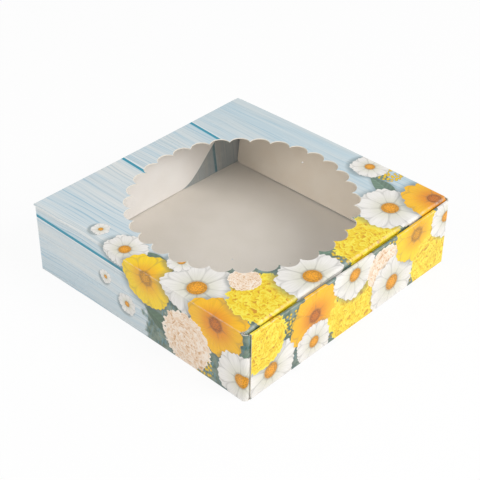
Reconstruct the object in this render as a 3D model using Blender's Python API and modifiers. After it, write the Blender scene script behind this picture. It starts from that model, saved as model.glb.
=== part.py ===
"""A square folding carton for cookies, closed: a tray with rolled double side walls and a hinged
tuck-in lid that has a round scalloped window with a clear film behind it.

X runs across the box between the rolled side walls, Y from the hinge wall (-Y) to the tuck wall
(+Y), and Z up from the table. The origin is the middle of the underside. Lengths are in metres.
"""

import math

import bmesh
import bpy
from mathutils import Matrix

# Overall sizes of the closed box
BOX_WIDTH = 0.200
BOX_DEPTH = 0.200
WALL_HEIGHT = 0.053

# The board: its thickness, the inner radius of a crease, and the slack left between two panels
BOARD = 0.0005
CREASE_RADIUS = 0.0003
FIT = 0.0003

# Rolled side walls: how far they stop short of the corners, and the lip that turns down each side
SIDE_SETBACK = 0.0025
ROLL_LIP = 0.0005
DUST_CLEARANCE = 0.0004
INNER_END_CLEARANCE = 0.0005
INNER_CORNER_RADIUS = 0.005

# Lock tabs of the inner walls, which stand in notches of the bottom panel
TAB_WIDTH = 0.026
TAB_PITCH = 0.100
TAB_CORNER_RADIUS = 0.0002
TAB_RECESS = 0.0001
BOTTOM_CORNER_RADIUS = 0.0025

# Dust flaps, folded round the upright corners into the rolled walls
DUST_LENGTH = 0.052
DUST_BEND_RADIUS = 0.0007
DUST_TOP_DROP = 0.0028
DUST_BOTTOM_RISE = 0.0012
DUST_SLOPE_LENGTH = 0.0014
DUST_CORNER_RADIUS = 0.009
DUST_END_TAPER = 0.004

# The lid, its tuck flap and its two side flaps
LID_CLEARANCE = 0.0006
LID_NOSE_RADIUS = 0.0004
TUCK_FLOOR_CLEARANCE = 0.0085
TUCK_END_TAPER = 0.006
TUCK_END_CLEARANCE = 0.0024
TUCK_CORNER_RADIUS = 0.012
FLAP_FLOOR_CLEARANCE = 0.0018
FLAP_HINGE_CLEARANCE = 0.0012
FLAP_TUCK_CLEARANCE = 0.0026
FLAP_TIP_LENGTH = 0.006
FLAP_TIP_DEPTH = 0.0200
FLAP_TIP_TAPER = 0.0045
FLAP_CURVE_LENGTH = 0.052
FLAP_CORNER_RADIUS = 0.006

# The scalloped window and the film behind it
WINDOW_RIM = 0.0155
LOBE_COUNT = 32
LOBE_RISE = 0.0050
FILM = 0.0002
FILM_INSET = 0.007
FILM_CORNER_RADIUS = 0.003

# How finely curves are drawn
FOLD_STEPS = 5
CORNER_STEPS = 5
LOBE_STEPS = 8
SWING_STEPS = 10
CURVE_STEPS = 14
NOSE_SEGMENTS = 3
SHARP_ANGLE = math.radians(35)

# What follows from the sizes above
HALF_WIDTH = BOX_WIDTH / 2
HALF_DEPTH = BOX_DEPTH / 2
FOLD_MIDDLE = CREASE_RADIUS + BOARD / 2
FOLD_OUTER = CREASE_RADIUS + BOARD
DUST_MIDDLE = DUST_BEND_RADIUS + BOARD / 2

OUTER_WALL_X = HALF_WIDTH - BOARD / 2
DUST_X = OUTER_WALL_X - BOARD - DUST_CLEARANCE
INNER_WALL_X = DUST_X - BOARD - DUST_CLEARANCE
HINGE_WALL_Y = BOARD / 2 - HALF_DEPTH
TUCK_WALL_Y = HALF_DEPTH - BOARD / 2
WALL_END_X = DUST_X - DUST_MIDDLE - FIT
SIDE_END_Y = HALF_DEPTH - SIDE_SETBACK
ROLL_LIP_Z = WALL_HEIGHT - FOLD_OUTER - ROLL_LIP

LID_TOP = WALL_HEIGHT + FIT + BOARD
LID_FOLD_Z = LID_TOP - FOLD_OUTER
FLAP_X = INNER_WALL_X - BOARD / 2 - LID_CLEARANCE - BOARD / 2
FLAP_FOLD_X = FLAP_X - FOLD_MIDDLE
LID_HALF_WIDTH = FLAP_FOLD_X - FIT
TUCK_FACE_Y = HALF_DEPTH - BOARD - LID_CLEARANCE
TUCK_FOLD_Y = TUCK_FACE_Y - FOLD_OUTER
LID_FRONT_Y = TUCK_FOLD_Y - FIT
SWING_RADIUS = TUCK_FACE_Y + HALF_DEPTH - BOARD / 2

# Flat pieces are drawn in their own plane: the columns are where its two axes and its normal point
ACROSS = Matrix(((1, 0, 0), (0, 0, -1), (0, 1, 0))).to_4x4()
ALONG = Matrix(((0, 0, 1), (1, 0, 0), (0, 1, 0))).to_4x4()

PRINTED = (0.55, 0.68, 0.76)
BARE_BOARD = (0.72, 0.66, 0.60)
YELLOW = (0.90, 0.68, 0.05)


def clear_scene():
    """Removes what the startup file holds."""
    for obj in list(bpy.data.objects):
        bpy.data.objects.remove(obj, do_unlink=True)


def new_collection(name):
    """A collection linked to the scene."""
    made = bpy.data.collections.new(name)
    bpy.context.scene.collection.children.link(made)
    return made


def board_finish(name, colour, roughness=0.35, alpha=1.0):
    """A material of one colour for one piece."""
    material = bpy.data.materials.new(name)
    material.use_nodes = True
    shader = material.node_tree.nodes["Principled BSDF"]
    shader.inputs["Base Color"].default_value = (*colour, 1.0)
    shader.inputs["Roughness"].default_value = roughness
    shader.inputs["Metallic"].default_value = 0.0
    shader.inputs["Alpha"].default_value = alpha
    return material


def arc(centre, radius, start, end, steps):
    """Points of an arc from one angle to another, in degrees, both ends included."""
    points = []
    for i in range(steps + 1):
        turn = math.radians(start + (end - start) * i / steps)
        points.append((centre[0] + radius * math.cos(turn), centre[1] + radius * math.sin(turn)))
    return points


def rounded(corners, radii, steps=CORNER_STEPS):
    """The polygon through the corners, each corner cut by an arc of its radius, or sharp at zero."""
    points = []
    count = len(corners)
    for i, corner in enumerate(corners):
        radius = radii[i]
        if radius == 0:
            points.append(corner)
            continue
        before = corners[i - 1]
        after = corners[(i + 1) % count]
        turn_in = math.atan2(before[1] - corner[1], before[0] - corner[0])
        turn_out = math.atan2(after[1] - corner[1], after[0] - corner[0])
        opening = (turn_out - turn_in + math.pi) % math.tau - math.pi
        reach = radius / math.sin(abs(opening) / 2)
        middle = turn_in + opening / 2
        centre = (corner[0] + reach * math.cos(middle), corner[1] + reach * math.sin(middle))
        sweep = math.degrees(math.pi - abs(opening)) * (1 if opening > 0 else -1)
        first = math.degrees(middle) + 180 + sweep / 2
        points += arc(centre, radius, first, first - sweep, steps)
    return points


def box_outline(low, high, radius):
    """A rectangle with all four corners rounded."""
    corners = [low, (high[0], low[1]), high, (low[0], high[1])]
    return rounded(corners, [radius] * len(corners))


def add_mesh(name, mesh, collection):
    """An object of the mesh in the collection."""
    obj = bpy.data.objects.new(name, mesh)
    collection.objects.link(obj)
    return obj


def plate(name, outlines, thickness, place, collection):
    """A flat plate: closed 2-D outlines, the later ones holes, filled and extruded, then welded."""
    curve = bpy.data.curves.new(name, "CURVE")
    curve.dimensions = "2D"
    curve.fill_mode = "BOTH"
    curve.extrude = thickness / 2
    for outline in outlines:
        spline = curve.splines.new("POLY")
        spline.points.add(len(outline) - 1)
        spline.use_cyclic_u = True
        for point, (a, b) in zip(spline.points, outline):
            point.co = (a, b, 0, 1)
    drawn = bpy.data.objects.new(name + "_outline", curve)
    collection.objects.link(drawn)
    drawn.matrix_world = place
    bpy.context.view_layer.update()
    graph = bpy.context.evaluated_depsgraph_get()
    mesh = bpy.data.meshes.new_from_object(drawn.evaluated_get(graph))
    mesh.name = name
    weld = bmesh.new()
    weld.from_mesh(mesh)
    bmesh.ops.remove_doubles(weld, verts=weld.verts, dist=BOARD / 100)
    bmesh.ops.transform(weld, matrix=drawn.matrix_world, verts=weld.verts)
    bmesh.ops.recalc_face_normals(weld, faces=weld.faces)
    weld.to_mesh(mesh)
    weld.free()
    bpy.data.objects.remove(drawn, do_unlink=True)
    return add_mesh(name, mesh, collection)


def folded_sheet(name, section, low, high, place, collection):
    """A strip of board with folds: the middle line of its section, drawn in a plane, carried from
    low to high along the creases, and given the board's thickness."""
    surface = bmesh.new()
    rows = []
    for a, b in section:
        ends = [place @ Matrix.Translation((a, b, c)) for c in (low, high)]
        rows.append([surface.verts.new(end.to_translation()) for end in ends])
    for first, second in zip(rows, rows[1:]):
        surface.faces.new((first[0], first[1], second[1], second[0]))
    mesh = bpy.data.meshes.new(name)
    surface.to_mesh(mesh)
    surface.free()
    obj = add_mesh(name, mesh, collection)
    shell = obj.modifiers.new("board", "SOLIDIFY")
    shell.thickness = BOARD
    shell.offset = 0
    shell.use_even_offset = True
    return obj


def die_cut(obj, outline, middle, depth, place, cutters):
    """Keeps of the sheet only what lies inside the outline, seen along the normal of its plane."""
    at = place @ Matrix.Translation((0, 0, middle))
    die = plate(obj.name + "_die", [outline], depth, at, cutters)
    die.hide_render = True
    die.display_type = "WIRE"
    cut = obj.modifiers.new("die cut", "BOOLEAN")
    cut.operation = "INTERSECT"
    cut.solver = "EXACT"
    cut.object = die


def settle(obj, material):
    """Applies the modifiers, shades the folds smooth and gives the piece its material."""
    graph = bpy.context.evaluated_depsgraph_get()
    mesh = bpy.data.meshes.new_from_object(obj.evaluated_get(graph))
    obj.modifiers.clear()
    obj.data = mesh
    mesh.name = obj.name
    mesh.shade_smooth()
    mesh.set_sharp_from_angle(angle=SHARP_ANGLE)
    mesh.materials.clear()
    mesh.materials.append(material)


def axis_empty(name, place, parent, collection):
    """An empty on a joint's axis."""
    empty = bpy.data.objects.new(name, None)
    collection.objects.link(empty)
    empty.empty_display_size = BOX_WIDTH / 20
    if parent:
        empty.parent = parent
        empty.matrix_parent_inverse = parent.matrix_world.inverted()
    empty.location = place
    bpy.context.view_layer.update()
    return empty


def hang(obj, empty):
    """Makes a piece follow an empty from where it lies."""
    obj.parent = empty
    obj.matrix_parent_inverse = empty.matrix_world.inverted()


def make_bottom(carton):
    """The bottom panel, with rounded corners and a notch for each lock tab."""
    edge_x = HALF_WIDTH - FOLD_OUTER - FIT
    edge_y = HALF_DEPTH - FOLD_OUTER - FIT
    notch_x = INNER_WALL_X - BOARD / 2 - FIT
    notch_half = TAB_WIDTH / 2 + FIT
    quarter = []
    for middle in (-TAB_PITCH / 2, TAB_PITCH / 2):
        quarter += [(edge_x, middle - notch_half), (notch_x, middle - notch_half)]
        quarter += [(notch_x, middle + notch_half), (edge_x, middle + notch_half)]
    right = [(edge_x, -edge_y), *quarter, (edge_x, edge_y)]
    left = [(-x, -y) for x, y in right]
    radii = [BOTTOM_CORNER_RADIUS] + [0] * len(quarter) + [BOTTOM_CORNER_RADIUS]
    outline = rounded(right + left, radii + radii)
    place = Matrix.Translation((0, 0, BOARD / 2))
    panel = plate("bottom_panel", [outline], BOARD, place, carton)
    settle(panel, board_finish("bottom_board", BARE_BOARD))


def wall_section(middle, top):
    """Half the section of a wall: up from the crease at the bottom panel, which lies inwards."""
    centre = (middle - FOLD_MIDDLE, FOLD_OUTER)
    return arc(centre, FOLD_MIDDLE, -90, 0, FOLD_STEPS) + [(middle, top)]


def make_end_wall(name, side, carton):
    """The hinge wall (side -1) or the tuck wall (side 1): one thickness of board."""
    section = [(side * y, z) for y, z in wall_section(TUCK_WALL_Y, WALL_HEIGHT)]
    wall = folded_sheet(name, section, -WALL_END_X, WALL_END_X, ALONG, carton)
    settle(wall, board_finish(name + "_print", PRINTED))


def make_side_wall(hand, side, carton):
    """One rolled side wall: outer panel, strip over the top, and inner panel with its lock tabs."""
    panel_top = ROLL_LIP_Z - FIT
    section = [(side * x, z) for x, z in wall_section(OUTER_WALL_X, panel_top)]
    outer = folded_sheet(hand + "_outer_wall", section, -SIDE_END_Y, SIDE_END_Y, ACROSS, carton)
    settle(outer, board_finish(hand + "_outer_print", YELLOW))

    fold_z = WALL_HEIGHT - FOLD_OUTER
    over = [(OUTER_WALL_X, ROLL_LIP_Z)]
    over += arc((OUTER_WALL_X - FOLD_MIDDLE, fold_z), FOLD_MIDDLE, 0, 90, FOLD_STEPS)
    over += arc((INNER_WALL_X + FOLD_MIDDLE, fold_z), FOLD_MIDDLE, 90, 180, FOLD_STEPS)
    over.append((INNER_WALL_X, ROLL_LIP_Z))
    section = [(side * x, z) for x, z in over]
    strip = folded_sheet(hand + "_roll_strip", section, -SIDE_END_Y, SIDE_END_Y, ACROSS, carton)
    settle(strip, board_finish(hand + "_roll_print", PRINTED))

    end = HALF_DEPTH - BOARD - INNER_END_CLEARANCE
    foot = BOARD + FIT
    tab_half = TAB_WIDTH / 2
    lower = [(-end, foot)]
    for middle in (-TAB_PITCH / 2, TAB_PITCH / 2):
        lower += [(middle - tab_half, foot), (middle - tab_half, TAB_RECESS)]
        lower += [(middle + tab_half, TAB_RECESS), (middle + tab_half, foot)]
    lower.append((end, foot))
    upper = [(end, panel_top), (-end, panel_top)]
    tab_radii = [0, TAB_CORNER_RADIUS, TAB_CORNER_RADIUS, 0]
    radii = [INNER_CORNER_RADIUS, *tab_radii, *tab_radii, INNER_CORNER_RADIUS, 0, 0]
    outline = rounded(lower + upper, radii)
    place = Matrix.Translation((side * INNER_WALL_X, 0, 0)) @ ALONG
    inner = plate(hand + "_inner_wall", [outline], BOARD, place, carton)
    settle(inner, board_finish(hand + "_inner_print", PRINTED))


def make_dust_flap(name, side, end, carton, cutters):
    """A dust flap: round the upright corner from an end wall (end -1 or 1), then along inside the
    rolled wall (side -1 or 1). Its upper edge drops and its lower edge rises past the corner."""
    centre_y = TUCK_WALL_Y - DUST_MIDDLE
    plan = arc((DUST_X - DUST_MIDDLE, centre_y), DUST_MIDDLE, 90, 0, FOLD_STEPS)
    tip = HALF_DEPTH - DUST_LENGTH
    plan.append((DUST_X, tip - FIT))
    plan = [(side * x, end * y) for x, y in plan]
    flap = folded_sheet(name, plan, 0, WALL_HEIGHT + FIT, Matrix(), carton)

    slope_start = centre_y
    slope_end = slope_start - DUST_SLOPE_LENGTH
    past = HALF_DEPTH + FIT
    top = WALL_HEIGHT - DUST_TOP_DROP
    corners = [(past, FIT), (past, WALL_HEIGHT), (TUCK_WALL_Y, WALL_HEIGHT), (slope_end, top)]
    corners += [(tip + DUST_END_TAPER, top), (tip, top - DUST_END_TAPER)]
    corners += [(tip, DUST_BOTTOM_RISE), (slope_end, DUST_BOTTOM_RISE), (slope_start, FIT)]
    radii = [0, 0, 0, 0, 0, 0, DUST_CORNER_RADIUS, 0, 0]
    outline = [(end * y, z) for y, z in rounded(corners, radii)]
    die_cut(flap, outline, side * HALF_WIDTH, BOX_WIDTH / 2, ALONG, cutters)
    settle(flap, board_finish(name + "_print", PRINTED))


def window_outline():
    """The scalloped window: equal arcs on a circle, bulging outwards, with their cusps inwards."""
    tip = min(LID_HALF_WIDTH, LID_FRONT_Y) - WINDOW_RIM
    cusp = tip - LOBE_RISE
    half_step = math.pi / LOBE_COUNT
    half_chord = cusp * math.sin(half_step)
    sagitta = tip - cusp * math.cos(half_step)
    lobe_radius = (half_chord**2 + sagitta**2) / (2 * sagitta)
    lobe_centre = tip - lobe_radius
    spread = math.degrees(math.atan2(half_chord, cusp * math.cos(half_step) - lobe_centre))
    points = []
    for i in range(LOBE_COUNT):
        turn = 2 * half_step * i
        middle = math.degrees(turn)
        centre = (lobe_centre * math.cos(turn), lobe_centre * math.sin(turn))
        points += arc(centre, lobe_radius, middle - spread, middle + spread, LOBE_STEPS)[:-1]
    return points


def round_nose(panel):
    """Rounds the lid's upper edge along the hinge crease."""
    shape = bmesh.new()
    shape.from_mesh(panel.data)
    edges = []
    for edge in shape.edges:
        if all(abs(v.co.y + HALF_DEPTH) < FIT and abs(v.co.z - LID_TOP) < FIT for v in edge.verts):
            edges.append(edge)
    bmesh.ops.bevel(shape, geom=edges, offset=LID_NOSE_RADIUS, segments=NOSE_SEGMENTS,
                    profile=0.5, affect="EDGES", clamp_overlap=True)
    shape.to_mesh(panel.data)
    shape.free()


def make_lid_panel(carton):
    """The lid's top panel with the window cut through it."""
    x = LID_HALF_WIDTH
    rim = [(-x, -HALF_DEPTH), (x, -HALF_DEPTH), (x, LID_FRONT_Y), (-x, LID_FRONT_Y)]
    place = Matrix.Translation((0, 0, LID_TOP - BOARD / 2))
    panel = plate("lid_panel", [rim, window_outline()], BOARD, place, carton)
    round_nose(panel)
    settle(panel, board_finish("lid_print", PRINTED))
    return panel


def make_film(carton):
    """The clear film under the lid, larger than the window all round."""
    half = LID_HALF_WIDTH - FILM_INSET
    high_y = LID_FRONT_Y - FILM_INSET
    outline = box_outline((-half, -high_y), (half, high_y), FILM_CORNER_RADIUS)
    place = Matrix.Translation((0, 0, LID_TOP - BOARD - FIT - FILM / 2))
    film = plate("window_film", [outline], FILM, place, carton)
    settle(film, board_finish("film", (0.95, 0.97, 0.98), roughness=0.05, alpha=0.2))
    return film


def make_tuck_flap(carton, cutters):
    """The lid's front flap: a crease, then a curl along the circle that it swings through about
    the hinge, so that its face keeps one distance to the tuck wall as the lid rises."""
    foot = BOARD + TUCK_FLOOR_CLEARANCE
    deepest = LID_TOP - foot
    section = arc((TUCK_FOLD_Y, LID_FOLD_Z), FOLD_MIDDLE, 90, 0, FOLD_STEPS)[:-1]
    for i in range(SWING_STEPS + 1):
        depth = FOLD_OUTER + (deepest + FIT - FOLD_OUTER) * i / SWING_STEPS
        section.append((math.sqrt(SWING_RADIUS**2 - depth**2) - HALF_DEPTH, LID_TOP - depth))
    wide = FLAP_X - BOARD / 2 - TUCK_END_CLEARANCE
    flap = folded_sheet("lid_tuck_flap", section, -wide - FIT, wide + FIT, ALONG, carton)

    narrow = wide - TUCK_END_TAPER
    past = LID_TOP + FIT
    corners = [(-narrow, foot), (narrow, foot), (wide, LID_FOLD_Z)]
    corners += [(wide, past), (-wide, past), (-wide, LID_FOLD_Z)]
    radii = [TUCK_CORNER_RADIUS, TUCK_CORNER_RADIUS, 0, 0, 0, 0]
    die_cut(flap, rounded(corners, radii), -HALF_DEPTH, BOX_DEPTH / 2, ACROSS, cutters)
    settle(flap, board_finish("tuck_flap_print", PRINTED))
    return flap


def flap_outline():
    """The side flap seen from the side: deep at the hinge end, then a smooth S up to a short tip
    at the tuck end, as (y, z) points."""
    foot = BOARD + FLAP_FLOOR_CLEARANCE
    hinge_end = FLAP_HINGE_CLEARANCE + BOARD - HALF_DEPTH
    tip_end = TUCK_FOLD_Y - FLAP_TUCK_CLEARANCE
    tip_z = LID_TOP - FLAP_TIP_DEPTH
    past = LID_TOP + FIT
    curve_end = tip_end - FLAP_TIP_TAPER - FLAP_TIP_LENGTH
    curve_start = curve_end - FLAP_CURVE_LENGTH
    curve = []
    for i in range(CURVE_STEPS + 1):
        share = i / CURVE_STEPS
        rise = (1 - math.cos(math.pi * share)) / 2
        curve.append((curve_start + FLAP_CURVE_LENGTH * share, foot + (tip_z - foot) * rise))
    hinge_side = [(hinge_end, past), (hinge_end, foot)]
    tuck_side = [(tip_end - FLAP_TIP_TAPER, tip_z), (tip_end, LID_FOLD_Z), (tip_end, past)]
    radii = [0, FLAP_CORNER_RADIUS, *[0] * len(curve), FLAP_CORNER_RADIUS, 0, 0]
    return rounded([*hinge_side, *curve, *tuck_side], radii)


def make_side_flap(hand, side, carton, cutters):
    """One side flap of the lid: a crease, then a flat panel cut to its outline."""
    section = arc((FLAP_FOLD_X, LID_FOLD_Z), FOLD_MIDDLE, 90, 0, FOLD_STEPS)
    section.append((FLAP_X, BOARD))
    section = [(side * x, z) for x, z in section]
    name = "lid_" + hand + "_flap"
    flap = folded_sheet(name, section, -HALF_DEPTH, HALF_DEPTH, ACROSS, carton)
    die_cut(flap, flap_outline(), side * HALF_WIDTH, BOX_WIDTH / 2, ALONG, cutters)
    settle(flap, board_finish(name + "_print", PRINTED))
    return flap


def make_lid(carton, cutters):
    """The lid and its flaps, each following an empty on the axis that it turns about."""
    hinge = axis_empty("lid_hinge_axis", (0, -HALF_DEPTH, LID_TOP), None, carton)
    hang(make_lid_panel(carton), hinge)
    hang(make_film(carton), hinge)
    tuck = axis_empty("tuck_fold_axis", (0, TUCK_FOLD_Y, LID_FOLD_Z), hinge, carton)
    hang(make_tuck_flap(carton, cutters), tuck)
    for hand, side in (("right", 1), ("left", -1)):
        fold = axis_empty(hand + "_fold_axis", (side * FLAP_FOLD_X, 0, LID_FOLD_Z), hinge, carton)
        hang(make_side_flap(hand, side, carton, cutters), fold)


def make_tray(carton, cutters):
    """The tray: bottom, hinge wall, tuck wall, two rolled side walls and four dust flaps."""
    make_bottom(carton)
    make_end_wall("hinge_wall", -1, carton)
    make_end_wall("tuck_wall", 1, carton)
    for hand, side in (("right", 1), ("left", -1)):
        make_side_wall(hand, side, carton)
        make_dust_flap("hinge_" + hand + "_dust_flap", side, -1, carton, cutters)
        make_dust_flap("tuck_" + hand + "_dust_flap", side, 1, carton, cutters)


def main():
    clear_scene()
    carton = new_collection("cookie_box")
    cutters = new_collection("dies")
    make_tray(carton, cutters)
    make_lid(carton, cutters)


main()
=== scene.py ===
"""A closed cookie box of glossy printed board: a tray with rolled side walls, and a tuck-in lid with
a round scalloped window and a clear film under it.

Shapes are worked out in millimetres in the frame's own axes: X across between the rolled walls, Y
from the hinge wall (-Y) to the tuck wall (+Y), Z up. The print is drawn on the flat blank, whose
coordinates (U, V), also in millimetres, every sheet carries as its UV map. Colours are given as
sRGB values of 0 to 255.
"""

import math
from types import SimpleNamespace

import bmesh
import bpy
import numpy as np
from mathutils import Matrix, Vector


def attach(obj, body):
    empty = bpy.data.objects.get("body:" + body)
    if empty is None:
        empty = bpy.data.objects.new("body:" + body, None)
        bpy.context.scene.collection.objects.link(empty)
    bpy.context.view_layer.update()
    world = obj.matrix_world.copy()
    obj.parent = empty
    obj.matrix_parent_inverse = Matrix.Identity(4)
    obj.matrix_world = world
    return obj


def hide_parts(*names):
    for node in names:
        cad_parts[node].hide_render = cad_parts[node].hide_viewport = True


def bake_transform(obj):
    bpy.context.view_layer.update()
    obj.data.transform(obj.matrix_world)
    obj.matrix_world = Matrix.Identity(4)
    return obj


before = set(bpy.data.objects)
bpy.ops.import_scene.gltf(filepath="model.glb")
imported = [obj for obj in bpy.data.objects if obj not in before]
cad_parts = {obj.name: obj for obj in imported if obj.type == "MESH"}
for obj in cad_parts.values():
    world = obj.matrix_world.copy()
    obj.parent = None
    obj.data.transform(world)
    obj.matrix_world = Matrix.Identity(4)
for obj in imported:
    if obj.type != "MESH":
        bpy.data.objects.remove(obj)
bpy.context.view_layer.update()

MM = 0.001

# How thick the board and the film are, and half the box's side
BOARD = 0.5
FILM = 0.2
HALF = 100.0

# Places of the sheets' middle surfaces, as in the solids
FOLD = 0.55
OUTER_X = 99.75
DUST_X = 98.85
INNER_X = 97.95
END_Y = 99.75
DUST_BEND = 2.2
FOOT_Z = 0.8
ROLL_Z = 52.2
WALL_TOP = 53.0
FILM_Z = 53.1
LID_Z = 53.55
LID_TOP = 53.8
FOLD_Z = 53.0
SWING = 198.65
FLAP_X = 96.85

# The lock tabs: the middle of each, half its width and its notch's, and the step at an edge of it
TAB_Y = 50
TAB_HALF = 13
NOTCH_HALF = 13.3
STEP = 0.01

# The lid's panel: it lies a little to the left, over the left roll and the tuck wall's edge
LID_LEFT = -98.7
LID_RIGHT = 95.2
RIGHT_FOLD = 1.65
LID_BACK = -98.9
LID_FRONT = 98.9
CREASE_LEFT = -99.2
CREASE_RIGHT = 95.6

# The side flaps: where both begin at the hinge, and how far each goes towards the tuck edge
FLAP_BACK = -98.3
LEFT_REACH = 95.5
RIGHT_REACH = 98.2

# The window: the number of its scallops, and the steps of a row round each
LOBES = 32
LOBE_STEPS = 14

# The blank: V of the bottom's middle, where V 0 is the lid's, and U where a side wall starts
BOTTOM_V = -253.8
SIDE_U = 98.9

# How much the rows of a sheet are paled over one of its folds: partly rubbing of the print, partly a
# painted highlight
ROLL_WEAR_AND_HIGHLIGHT = [0, .3, 1, 1, 1, .3, 0]
CREASE_WEAR_AND_HIGHLIGHT = [0, 0, .3, .6, 1, 1, 1, .6, .3, 0, 0]
FLAP_WEAR_AND_HIGHLIGHT = [0, .4, .8, 1, 1, .8, .4, .2, 0]

# How far the board is out of square, as shares of its size: the side walls' upper corners and the
# hinge wall's lower ones flare outwards, the tuck edge bulges, and the box widens towards it
TOP_FLARE = 0.007
FOOT_FLARE = 0.0095
TUCK_BULGE = 0.0022
WIDENING = 0.003

# How far the lid sags at its outer corners, and the half width and the length that it grows over
LID_SAG = 0.7
SAG_HALF_WIDTH = 96
SAG_LENGTH = 198

# The camera of the photograph: azimuth, elevation, roll in degrees, distance, focal length in
# pixels of a 480 pixel picture, the shift of its aim to the right and up, and how far right and
# down of the picture's middle it looks
CAMERA = (44.154, 36.272, -0.418, 882.34, 1254.55, 0.657, 15.633)
LENS_SHIFT = (3.454, 1.136)
PICTURE = 480
SENSOR = 36.0

# Light: the world's even level, where the lamps look, and each lamp's name, place, size and watts
WORLD_LIGHT = 0.525
LAMP_AIM = (0, 0, 0.03)
LAMPS = (("key", (1.10, 0.32, 0.96), 0.75, 12.0), ("fill", (-0.35, -1.2, 0.9), 0.9, 5.0))

# The floor: half its width in metres, its own white, and the share of plain white that the camera sees
FLOOR_HALF = 3.0
FLOOR_WHITE = 0.93
FLOOR_GLOW = 0.92


def linear(red, green, blue):
    """An sRGB colour as linear values: the usual curve, ((c + 0.055) / 1.055) to the power 2.4
    above the toe."""
    c = np.array([red, green, blue]) / 255
    values = np.where(c <= 0.04045, c / 12.92, ((c + 0.055) / 1.055) ** 2.4)
    return (*values.tolist(), 1.0)


def add_object(name, data):
    """A new object in the scene."""
    made = bpy.data.objects.new(name, data)
    bpy.context.scene.collection.objects.link(made)
    return made


# Shapes

def bow(points):
    """The points of a straight box moved to the bowed one: x grows with the height and the square
    of y, and a little with y; y grows with the square of x at the hinge wall's foot, fading to none
    at its top, and shrinks with it on the tuck side."""
    x, y, z = np.moveaxis(points, -1, 0)
    high = np.clip(z / LID_TOP, 0, 1)
    flare = np.where(y < 0, FOOT_FLARE * (1 - high), -TUCK_BULGE)
    bowed_x = x * (1 + TOP_FLARE * high * (y / HALF) ** 2 + WIDENING * y / HALF)
    bowed_y = y * (1 + flare * (x / HALF) ** 2)
    return np.stack([bowed_x, bowed_y, z], -1)


def sag(points):
    """The lid's points lowered by the square of x, growing with the square of the way from the
    hinge to the tuck edge."""
    x, y, z = np.moveaxis(points, -1, 0)
    drop = LID_SAG * (x / SAG_HALF_WIDTH) ** 2 * np.clip((y + HALF) / SAG_LENGTH, 0, 1) ** 2
    return np.stack([x, y, z - drop], -1)


def grid_faces(rows, columns, ring):
    """The quads of a grid of rows and columns, numbered row by row; a ring closes on its first row."""
    last = rows if ring else rows - 1
    i, j = (n.ravel() for n in np.meshgrid(np.arange(last), np.arange(columns - 1), indexing="ij"))
    k = (i + 1) % rows
    return np.stack([i * columns + j, k * columns + j, k * columns + j + 1, i * columns + j + 1], 1)


def board(name, middle, outward, blank, wear_and_highlight, thickness=BOARD, ring=False, shape=None):
    """A sheet with a printed face, a bare face and raw edges. Each point of the middle surface is
    moved by half the thickness along the outward direction for the printed face and against it for
    the bare one; the shape function then moves both, and edge quads close the rim. How much its
    folds are paled, partly by rubbing and partly by a painted highlight, is kept as an attribute."""
    rows, columns = middle.shape[:2]
    count = rows * columns
    half = np.broadcast_to(outward, middle.shape) * thickness / 2
    faces = np.concatenate([middle + half, middle - half]).reshape(-1, 3)
    if shape is not None:
        faces = shape(faces)
    points = bow(faces) * MM

    top = grid_faces(rows, columns, ring)
    under = top[:, ::-1] + count
    along, across = np.arange(rows if ring else rows - 1), np.arange(columns - 1)
    edges = [(along * columns + column, (along + 1) % rows * columns + column)
             for column in (0, columns - 1)]
    if not ring:
        edges += [(row * columns + across, row * columns + across + 1) for row in (0, rows - 1)]
    rim = np.concatenate([np.stack([near, far, far + count, near + count], 1) for near, far in edges])
    finish = np.repeat([0, 1, 2], [len(top), len(under), len(rim)])

    mesh = bpy.data.meshes.new(name)
    mesh.from_pydata(points.tolist(), [], np.concatenate([top, under, rim]).tolist())
    mesh.polygons.foreach_set("material_index", finish.astype(np.int32))
    corner = np.empty(len(mesh.loops), np.int32)
    mesh.loops.foreach_get("vertex_index", corner)
    flat = np.broadcast_to(blank, (rows, columns, 2)).reshape(-1, 2) * MM
    uv = mesh.uv_layers.new(name="blank")
    uv.data.foreach_set("uv", flat[corner % count].astype(np.float32).ravel())
    wear_and_highlight_values = np.tile(np.broadcast_to(wear_and_highlight, (rows, columns)).ravel(), 2)
    mesh.attributes.new("fold", "FLOAT", "POINT").data.foreach_set("value", wear_and_highlight_values.astype(np.float32))

    shell = bmesh.new()
    shell.from_mesh(mesh)
    bmesh.ops.remove_doubles(shell, verts=shell.verts, dist=2e-7)
    bmesh.ops.dissolve_degenerate(shell, edges=shell.edges, dist=1e-7)
    bmesh.ops.recalc_face_normals(shell, faces=shell.faces)
    shell.to_mesh(mesh)
    shell.free()
    mesh.shade_smooth()
    mesh.set_sharp_from_angle(angle=math.radians(40))
    return add_object(name, mesh)


def swept_along(name, side, place, ray, blank, wear_and_highlight, shape=None):
    """A sheet whose section is carried along y: x, y and z, the section's directions, and u and v
    are given for the right side, and mirrored in x and u for the left one."""
    x, y, z = np.broadcast_arrays(*place)
    u, v = np.broadcast_arrays(*blank)
    outward = np.stack([side * ray[:, 0], 0 * ray[:, 0], ray[:, 1]], -1)[:, None]
    return board(name, np.stack([side * x, y, z], -1), outward, np.stack([side * u, v], -1),
                 wear_and_highlight, shape=shape)


def swept_across(name, line, ray, across, v, wear_and_highlight):
    """A sheet of the lid whose section in y and z is carried across in x, cut at each row to the
    places given; its u is x, and its v follows the section."""
    across, y, z, v = np.broadcast_arrays(across, line[:, :1], line[:, 1:], v[:, None])
    outward = np.stack([0 * ray[:, 0], *ray.T], -1)[:, None]
    return board(name, np.stack([across, y, z], -1), outward, np.stack([across, v], -1), wear_and_highlight,
                 shape=sag)


def bend(centre, radius, start, end, steps, skip=0):
    """An arc of a section between two angles in degrees, without the points that are skipped: its
    points, and their directions from its centre."""
    turn = np.radians(np.linspace(start, end, steps + 1))[skip:]
    ray = np.stack([np.cos(turn), np.sin(turn)], 1)
    return np.array(centre) + radius * ray, ray


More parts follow.
